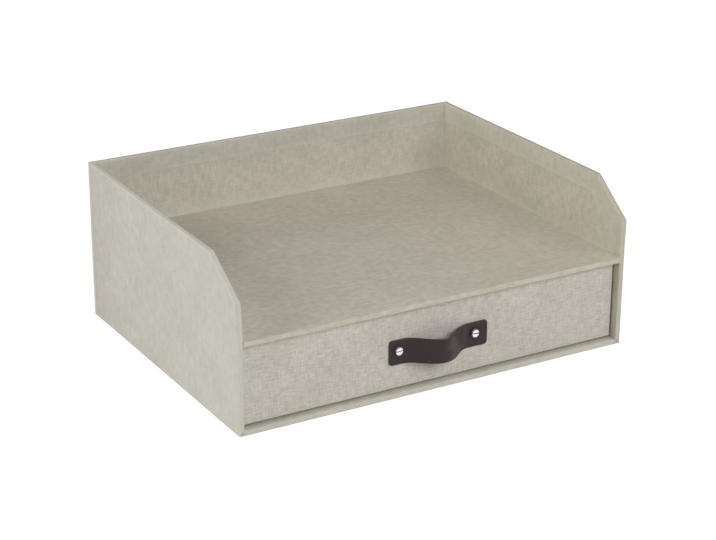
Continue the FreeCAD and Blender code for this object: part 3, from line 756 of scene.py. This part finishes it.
# The edges are painted paler: burnishing, and a painted edge highlight.
EDGE_BURNISH_AND_HIGHLIGHT = 0.6
EDGE_BURNISH_AND_HIGHLIGHT_REACH = 0.35 * MM
LEATHER_DARK = "221416"
LEATHER_PALE = "312022"
LEATHER_EDGE = "54443F"
LEATHER_PRESSED = "120D0E"
PRESSED = 0.7
PORE = 0.9 * MM
PORE_SHARE = 0.4
CREASE = 5 * MM
LEATHER_RELIEF = 0.08 * MM

strap_low, strap_high = (np.array(corner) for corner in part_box("handle_strap"))
STRAP_Z = (strap_low[2] + strap_high[2]) / 2 - SAG
SCREW_Z = STRAP_Z + SAG + SCREW_LIFT
STRAP_Y = strap_high[1] - STRAP_THICK / 2


def make_leather():
    """Dyed leather, smooth with a soft sheen: fine pores and soft creases in its bump, and a slow change of
    tone along the strap. Its edges are paler, by burnishing and a painted edge highlight, and the rings
    pressed into it are darker."""
    material, tree = new_material("dyed_leather")
    place = add(tree, "UVMap", uv_map="Sheet")
    pores = add(tree, "TexVoronoi", {"Vector": place.outputs[0], "Scale": 1 / PORE}, feature="F1")
    creases = add(tree, "TexNoise", {"Vector": place.outputs[0], "Scale": 1 / CREASE, "Detail": 4.0})
    dyes = {0: creases.outputs[0], 6: linear(LEATHER_DARK), 7: linear(LEATHER_PALE)}
    dyed = add(tree, "Mix", dyes, data_type="RGBA")
    fold = add(tree, "Attribute", attribute_name="Fold")
    edges = {0: fold.outputs["Fac"], 6: dyed.outputs[2], 7: linear(LEATHER_EDGE)}
    burnished_and_lit = add(tree, "Mix", edges, data_type="RGBA")
    pressed = add(tree, "Math", {0: fold.outputs["Fac"], 1: -PRESSED}, operation="MULTIPLY")
    rings = {0: pressed.outputs[0], 6: burnished_and_lit.outputs[2], 7: linear(LEATHER_PRESSED)}
    tone = add(tree, "Mix", rings, data_type="RGBA")
    grain = {0: pores.outputs[0], 1: PORE_SHARE, 2: creases.outputs[0]}
    height = add(tree, "Math", grain, operation="MULTIPLY_ADD")
    bump = add(tree, "Bump", {"Height": height.outputs[0], "Distance": LEATHER_RELIEF, "Strength": 0.6})
    surface = {
        "Base Color": tone.outputs[2],
        "Roughness": 0.42,
        "Specular IOR Level": 0.3,
        "Normal": bump.outputs[0],
    }
    shader = add(tree, "BsdfPrincipled", surface)
    add(tree, "OutputMaterial", {"Surface": shader.outputs[0]})
    return material


def strap_line(distance):
    """The strap's middle line by its own length from the crown: the heading turns evenly over the crown to a
    flank, and back over the foot to the tab, eased by a bell-shaped mean. The sums of its cosine and sine
    give the place, and the heading gives the normal."""
    crown, foot = CROWN_RADIUS * BEND_ANGLE, FOOT_RADIUS * BEND_ANGLE
    bends_rise = (CROWN_RADIUS + FOOT_RADIUS) * (1 - math.cos(BEND_ANGLE))
    flank = (RISE - bends_rise) / math.sin(BEND_ANGLE)
    fine = np.linspace(0, STRAP_HALF, round(STRAP_HALF / FINE) + 1)
    heading = -BEND_ANGLE * (np.clip(fine / crown, 0, 1) - np.clip((fine - crown - flank) / foot, 0, 1))
    ease = np.hanning(EASE_STEPS) / np.hanning(EASE_STEPS).sum()
    margin = EASE_STEPS // 2
    heading = np.concatenate([-heading[margin:0:-1], heading, 0 * heading[:margin]])
    heading = np.convolve(heading, ease, "valid")
    run = np.cumsum(np.cos(heading)) * fine[1]
    rise = np.cumsum(np.sin(heading)) * fine[1]
    side, where = np.sign(distance), np.abs(distance)
    x = CROWN_X + side * np.interp(where, fine, run)
    y = STRAP_Y - np.interp(where, fine, rise - rise[-1])
    return x, y, side * np.interp(where, fine, heading)


def strap_grids():
    """Front and back of the strap over its flat outline, a rectangle with rounded corners. Each stands off
    the middle line by half the thickness, less a quarter circle near the outline. The front dips round the
    screws, and the loop's upper edge is twisted right and forwards, by a bell curve along the strap."""
    fine = np.linspace(-STRAP_HALF, STRAP_HALF, 2 * round(STRAP_HALF / FINE) + 1)
    low, high = np.interp(STRAP_ENDS, strap_line(fine)[0], fine)
    edge = STRAP_EDGE * (1 - np.cos(np.linspace(0, np.pi / 2, EDGE_STEPS)))
    end = np.array([*edge, *np.linspace(FLAT_FROM, CORNER_TO, TAB_STEPS)])
    middle = np.linspace(low + MIDDLE_FROM, high - MIDDLE_FROM, ALONG_STEPS)
    along = np.array([*(low + end), *middle, *(high - end[::-1])])[None, :]
    width = np.array([*edge, *np.linspace(FLAT_FROM, STRAP_WIDTH / 2, ACROSS_STEPS)]) / (STRAP_WIDTH / 2)
    share = np.array([*(width - 1), *(1 - width[-2::-1])])[:, None]
    from_end = np.minimum(along - low, high - along)
    gap = np.clip(STRAP_CORNER - from_end, 0, STRAP_CORNER)
    reach = STRAP_WIDTH / 2 - STRAP_CORNER + np.sqrt(STRAP_CORNER ** 2 - gap ** 2)
    across = share * reach
    past = np.stack(np.broadcast_arrays(-from_end, np.abs(across) - STRAP_WIDTH / 2)) + STRAP_CORNER
    inset = STRAP_CORNER - np.sqrt((np.maximum(past, 0) ** 2).sum(0)) - np.minimum(past.max(0), 0)
    fall = STRAP_EDGE - np.clip(inset, 0, STRAP_EDGE)
    rise = np.sqrt(np.maximum(STRAP_EDGE ** 2 - fall ** 2, 0))
    stand = (STRAP_THICK / 2 - STRAP_EDGE + rise) * (inset > 1e-7)
    x, y, turn = strap_line(along)
    around = np.minimum(*(np.hypot(x - screw, STRAP_Z + across - SCREW_Z) for screw in SCREWS_X))
    ring = np.exp(-((around - RING_RADIUS) / RING_WIDTH) ** 2)
    twist = np.clip(across / (STRAP_WIDTH / 2), 0, 1) * np.exp(-((x - TWIST_X) / TWIST_REACH) ** 2)
    z = STRAP_Z + across
    sheet = np.stack(np.broadcast_arrays(along, across), -1)
    fold = EDGE_BURNISH_AND_HIGHLIGHT * np.exp(-(np.maximum(inset, 0) / EDGE_BURNISH_AND_HIGHLIGHT_REACH) ** 2) - ring
    grids = []
    for face, press in ((-1, RING_DEEP * ring), (1, 0 * ring)):
        off = face * (stand - press)
        turned_x = x + off * np.sin(turn) + twist * TWIST[0]
        turned_y = y + off * np.cos(turn) + twist * TWIST[1]
        grids.append((np.stack([turned_x, turned_y, z], -1), sheet, fold))
    return grids


make_piece(
    "leather_strap", make_mesh("leather_strap", strap_grids()), "drawer", make_leather(),
    "handle_strap",
)


# ---- Handle screws ----
# Two slotted binding screws, steel with bright chrome plate, turned through the strap, the drawer front and
# the tray wall. The shallow domed heads are polished, and their slots are milled.

HEAD_RADIUS = 3.8 * MM
HEAD_RIM = 0.5 * MM
HEAD_DOME = 1.1 * MM
HEAD_TILTS = (math.radians(3), math.radians(-4))
BRIGHT_RADIUS = 2.7 * MM
BRIGHT_FADE = 0.3 * MM
# Outside the bright radius the head is rougher and painted darker: a painted dark reflection round its rim.
RIM_DULL_AND_SHADED = 0.9
SLOT_HALF = 0.5 * MM
SLOT_DEEP = 0.9 * MM
SHANK_RADIUS = 1.7 * MM
SHANK_LENGTH = 6.5 * MM
BREAK = 0.1 * MM
TIP = 0.2 * MM
ROUND_STEPS = 48
CHORD_STEPS = 33
RIM_STEPS = 9
RIM_FROM = 0.12
SLOT_STEPS = 5
POLISH_MARKS = 1.5 * MM
POLISH = (0.08, 0.22)
SLOT_ROUGHNESS = 0.6
CHROME_DARK = "D2D3D6"
CHROME_PALE = "EDEDEE"
# Dark tone for the slot's painted shade and the rim's painted dark reflection.
SLOT_AND_RIM_SHADE = "24211F"


def make_chrome():
    """Polished plate: mirror-like, with a faint change of tone and polish by a noise. The slot and the rim,
    which the polishing wheel doesn't reach, are rougher, and their colour is darkened: painted shade in the
    slot and a painted dark reflection round the rim."""
    material, tree = new_material("chrome_plate")
    place = add(tree, "TexCoord")
    scale = {"Vector": place.outputs["Object"], "Scale": 1 / POLISH_MARKS, "Detail": 2.0}
    marks = add(tree, "TexNoise", scale)
    dull_and_shaded = add(tree, "Attribute", attribute_name="Fold")
    polish = add(tree, "MapRange", {0: marks.outputs[0], 3: POLISH[0], 4: POLISH[1]})
    polish = add(tree, "Mix", {0: dull_and_shaded.outputs["Fac"], 2: polish.outputs[0], 3: SLOT_ROUGHNESS})
    plate = {0: marks.outputs[0], 6: linear(CHROME_DARK), 7: linear(CHROME_PALE)}
    tone = add(tree, "Mix", plate, data_type="RGBA")
    # Painted shade in the slot and a painted dark reflection on the rim.
    painted_dark = {0: dull_and_shaded.outputs["Fac"], 6: tone.outputs[2], 7: linear(SLOT_AND_RIM_SHADE)}
    tone = add(tree, "Mix", painted_dark, data_type="RGBA")
    surface = {"Base Color": tone.outputs[2], "Metallic": 1.0, "Roughness": polish.outputs[0]}
    shader = add(tree, "BsdfPrincipled", surface)
    add(tree, "OutputMaterial", {"Surface": shader.outputs[0]})
    return material


def turned(profile):
    """A turned shape: radius and height pairs carried round the axis. Gives across, up and height."""
    angle = np.linspace(0, 2 * np.pi, ROUND_STEPS + 1)[:, None]
    radius, height = np.array(profile).T
    height = np.broadcast_to(height, (ROUND_STEPS + 1, len(radius)))
    return radius * np.cos(angle), radius * np.sin(angle), height


def slotted_head(tilt):
    """A screw head seen from outside: chords of a circle, at the height of a dome that is steepest at its
    edge, by the cube root of one less the cube of the radius, and lower where a chord lies in the slot.
    Chords are doubled at the slot's walls. The slot and an outer band of the dome are rougher and darker:
    painted shade in the slot and a painted dark reflection on the band."""
    edge = HEAD_RADIUS * np.cos(np.linspace(RIM_FROM, np.pi / 2, RIM_STEPS))
    outer = np.unique([SLOT_HALF, *edge[edge > SLOT_HALF], HEAD_RADIUS])
    inner = np.linspace(-SLOT_HALF, SLOT_HALF, SLOT_STEPS)
    up = np.array([*-outer[::-1], *inner, *outer])[:, None]
    sunk = np.array([*(0 * outer), *(0 * inner + 1), *(0 * outer)])[:, None]
    half = np.sqrt(np.maximum(HEAD_RADIUS ** 2 - up ** 2, 0))
    across = half * np.sin(np.linspace(-np.pi / 2, np.pi / 2, CHORD_STEPS))
    radius = np.hypot(across, up)
    height = HEAD_RIM + HEAD_DOME * np.cbrt(np.maximum(1 - (radius / HEAD_RADIUS) ** 3, 0))
    floor = np.minimum(height, HEAD_RIM + HEAD_DOME - SLOT_DEEP)
    height = np.where(sunk > 0, floor, height)
    # Rougher and painted dark in the slot, as painted shade, and on the outer band, as a painted dark
    # reflection.
    dull_and_shaded = np.maximum(sunk, RIM_DULL_AND_SHADED * np.clip((radius - BRIGHT_RADIUS) / BRIGHT_FADE, 0, 1))
    turned_across = across * math.cos(tilt) - up * math.sin(tilt)
    turned_up = across * math.sin(tilt) + up * math.cos(tilt)
    return turned_across, turned_up, height, dull_and_shaded


def screw_grids(x, tilt):
    """A head and its shank, standing on the strap's face at one end of it."""
    face = STRAP_Y - STRAP_THICK / 2
    shank = turned([
        (HEAD_RADIUS, HEAD_RIM), (HEAD_RADIUS, BREAK), (HEAD_RADIUS - BREAK, 0), (SHANK_RADIUS, 0),
        (SHANK_RADIUS, TIP - SHANK_LENGTH), (SHANK_RADIUS - TIP, -SHANK_LENGTH), (0, -SHANK_LENGTH),
    ])
    return [
        (np.stack([x + a, face - h, SCREW_Z + b], -1), np.stack([a, b], -1), dull_and_shaded)
        for a, b, h, dull_and_shaded in (slotted_head(tilt), (*shank, 0 * shank[0]))
    ]


chrome = make_chrome()
screws = screw_grids(SCREWS_X[0], HEAD_TILTS[0]) + screw_grids(SCREWS_X[1], HEAD_TILTS[1])
make_piece(
    "chrome_screws", make_mesh("chrome_screws", screws), "drawer", chrome, "handle_screws"
)


# ---- Handle posts ----
# The two barrels that the screws turn into, of the same chromed steel. They pass through the tray's front
# wall, and their flat flanges with round edges sit against the lining inside.

FLANGE_RADIUS = 4.75 * MM
FLANGE_THICK = 1.2 * MM
FLANGE_ROUND = 0.5 * MM
ROUND_MIDDLE = 0.15 * MM
FLANGE_CENTRE = 1.0 * MM
BARREL_RADIUS = 2.5 * MM
BORE_RADIUS = SHANK_RADIUS + 0.05 * MM
BORE_END = -0.5 * MM

post_low, post_high = (np.array(corner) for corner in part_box("handle_posts"))
POST_X = post_high[0] - FLANGE_RADIUS
POST_Z = (post_low[2] + post_high[2]) / 2


def post_grids(x):
    """A barrel with a round-edged flange at its inner end, bored for the screw, as a turned profile."""
    barrel = post_high[1] - FLANGE_THICK - post_low[1]
    a, b, h = turned([
        (0, FLANGE_THICK), (FLANGE_CENTRE, FLANGE_THICK), (FLANGE_RADIUS - FLANGE_ROUND, FLANGE_THICK),
        (FLANGE_RADIUS - ROUND_MIDDLE, FLANGE_THICK - ROUND_MIDDLE),
        (FLANGE_RADIUS, FLANGE_THICK - FLANGE_ROUND), (FLANGE_RADIUS, BREAK), (FLANGE_RADIUS - BREAK, 0),
        (BARREL_RADIUS, 0), (BARREL_RADIUS, TIP - barrel), (BARREL_RADIUS - TIP, -barrel),
        (BORE_RADIUS, -barrel), (BORE_RADIUS, BORE_END), (0, BORE_END),
    ])
    points = np.stack([x + a, post_high[1] - FLANGE_THICK + h, POST_Z + b], -1)
    return [(points, np.stack([a, b], -1), 0 * a)]


posts = post_grids(-POST_X) + post_grids(POST_X)
make_piece("chrome_posts", make_mesh("chrome_posts", posts), "drawer", chrome, "handle_posts")


# ---- Floor and light ----
# A plain white studio floor, an even pale surround, and five large soft lamps: in front, in front at the
# right, at the left, low at the left as a reflector, and behind. What looks at the floor or the surround sees
# white, and the floor keeps the soft shadow of the box.

FLOOR_HALF = 6.0
FLOOR_WHITE = "E6E6E6"
FLOOR_GLOW = 0.72
SURROUND = 0.1
LAMPS_AIM = (0, 0, 0.05)


def seen_rays(tree):
    """One for a ray that shows the surface, straight, in a gloss or through glass, and nothing for a ray that
    it lights the box by: the highest of the three kinds of ray."""
    rays = add(tree, "LightPath")
    seen = rays.outputs["Is Camera Ray"]
    for kind in ("Is Glossy Ray", "Is Transmission Ray"):
        seen = add(tree, "Math", {0: seen, 1: rays.outputs[kind]}, operation="MAXIMUM").outputs[0]
    return seen


def make_floor_paper():
    """Matt white paper for the light that it gives back, and a little glow for the eye, which lifts it to
    white wherever no shadow lies on it."""
    material, tree = new_material("white_floor_paper")
    paper = add(tree, "BsdfDiffuse", {"Color": linear(FLOOR_WHITE)})
    glow = add(tree, "Emission", {"Color": (1, 1, 1, 1), "Strength": FLOOR_GLOW})
    both = add(tree, "AddShader", {0: paper.outputs[0], 1: glow.outputs[0]})
    shown = add(tree, "MixShader", {0: seen_rays(tree), 1: paper.outputs[0], 2: both.outputs[0]})
    add(tree, "OutputMaterial", {"Surface": shown.outputs[0]})
    return material


floor_line = np.linspace(-FLOOR_HALF, FLOOR_HALF, 3)
floor_x, floor_y = np.meshgrid(floor_line, floor_line)
floor_grid = (np.stack([floor_x, floor_y, 0 * floor_x], -1), np.stack([floor_x, floor_y], -1), 0 * floor_x)
floor = bpy.data.objects.new("floor", make_mesh("floor", [floor_grid], (0, 0, 1)))
bpy.context.scene.collection.objects.link(floor)
floor.data.materials.append(make_floor_paper())

world = bpy.data.worlds.new("surround")
bpy.context.scene.world = world
world.use_nodes = True
tree = world.node_tree
tree.nodes.clear()
even = add(tree, "Background", {"Color": (1, 1, 1, 1), "Strength": SURROUND})
white = add(tree, "Background", {"Color": (1, 1, 1, 1), "Strength": 1.0})
sky = add(tree, "MixShader", {0: seen_rays(tree), 1: even.outputs[0], 2: white.outputs[0]})
add(tree, "OutputWorld", {"Surface": sky.outputs[0]})


def aim(obj, place, target):
    """Puts a lamp at a place, facing a target, with its width level."""
    back = np.array(place, float) - np.array(target, float)
    back /= np.linalg.norm(back)
    right = np.cross((0, 0, 1), back)
    right /= np.linalg.norm(right)
    rows = np.stack([right, np.cross(back, right), back, place], -1)
    obj.matrix_world = Matrix([*rows, (0, 0, 0, 1)])


# Each lamp's name, place, width and height, in metres, and its power in watts.
for name, place, width, height, power in (
    ("front_lamp", (0.0, -2.0, 1.15), 1.2, 1.2, 20.2),
    ("front_right_lamp", (1.1, -1.7, 1.4), 1.2, 1.2, 9.7),
    ("left_lamp", (-2.0, 0.1, 0.9), 1.2, 1.2, 19.3),
    ("left_reflector", (-1.6, 1.4, 0.25), 1.5, 0.5, 9.5),
    ("back_lamp", (0.3, 2.2, 1.2), 1.5, 1.0, 8.0),
):
    lamp_data = bpy.data.lights.new(name, "AREA")
    lamp_data.shape = "RECTANGLE"
    lamp_data.size = width
    lamp_data.size_y = height
    lamp_data.energy = power
    lamp = bpy.data.objects.new(name, lamp_data)
    bpy.context.scene.collection.objects.link(lamp)
    aim(lamp, place, LAMPS_AIM)


# ---- Camera ----
# A long lens about 1.5 m away and 0.6 m above the desk, turned to the box's front and its left side. The
# azimuth is from straight in front, the elevation from level, and the aim is a place near the box's middle.

AZIMUTH = math.radians(-30.3467)
ELEVATION = math.radians(21.8018)
ROLL = math.radians(0.3102)
DISTANCE = 1535.374 * MM
AIM_RIGHT = 3.64 * MM
AIM_UP = -0.17 * MM
AIM_HEIGHT = 49.5 * MM
LENS = 99.222
SENSOR = 36.0

back = np.array([
    math.sin(AZIMUTH) * math.cos(ELEVATION), -math.cos(AZIMUTH) * math.cos(ELEVATION), math.sin(ELEVATION)
])
level = np.cross(-back, (0, 0, 1))
level /= np.linalg.norm(level)
upright = np.cross(level, -back)
right = math.cos(ROLL) * level + math.sin(ROLL) * upright
up = math.cos(ROLL) * upright - math.sin(ROLL) * level
stand = np.array([0, 0, AIM_HEIGHT]) + back * DISTANCE + right * AIM_RIGHT + up * AIM_UP

camera_data = bpy.data.cameras.new("camera")
camera_data.lens = LENS
camera_data.sensor_width = SENSOR
camera_data.sensor_fit = "HORIZONTAL"
camera = bpy.data.objects.new("camera", camera_data)
bpy.context.scene.collection.objects.link(camera)
camera.matrix_world = Matrix([*np.stack([right, up, back, stand], -1), (0, 0, 0, 1)])
bpy.context.scene.camera = camera
bpy.context.scene.view_settings.view_transform = "Standard"

bpy.context.view_layer.update()
